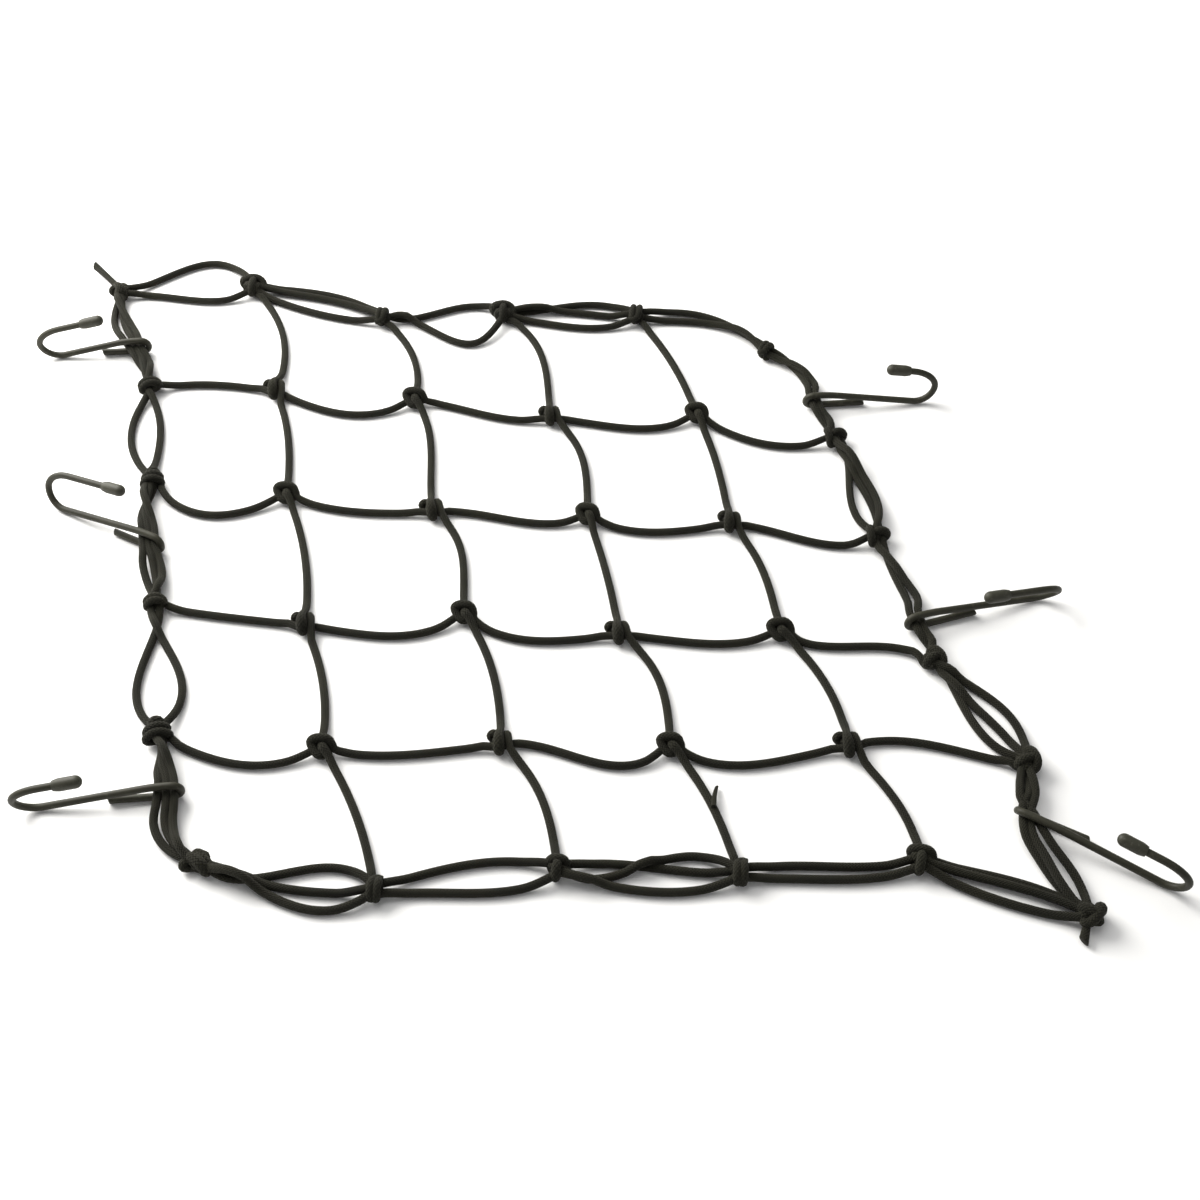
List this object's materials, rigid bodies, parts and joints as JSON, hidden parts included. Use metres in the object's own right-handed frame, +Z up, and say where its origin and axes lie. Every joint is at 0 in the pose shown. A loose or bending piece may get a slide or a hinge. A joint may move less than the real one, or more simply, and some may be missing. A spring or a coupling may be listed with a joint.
{
  "type": "cargo net",
  "caption": "Elastic cargo net of knotted cord with a doubled border, laid out flat, with coated wire hooks and rubber tips along opposite edges.",
  "frame": {"origin": "middle of the net and its hooks, on the surface that it lies on", "axes": "+X along the cross cords, towards the right-hand hooks; +Y towards the back edge; +Z up"},
  "size_m": [0.5683, 0.4226, 0.0293],
  "materials": {
    "cord": "fine dull braid",
    "wire": "smooth semi-gloss plastic coating",
    "rubber": "matt"
  },
  "bodies": {
    "root": {"net": "cord", "hook_left_1": "wire", "hook_left_2": "wire", "hook_left_3": "wire", "hook_right_1": "wire", "hook_right_2": "wire", "hook_right_3": "wire", "tip_left_1": "rubber", "tip_left_2": "rubber", "tip_left_3": "rubber", "tip_right_1": "rubber", "tip_right_2": "rubber", "tip_right_3": "rubber"}
  },
  "joints": []
}
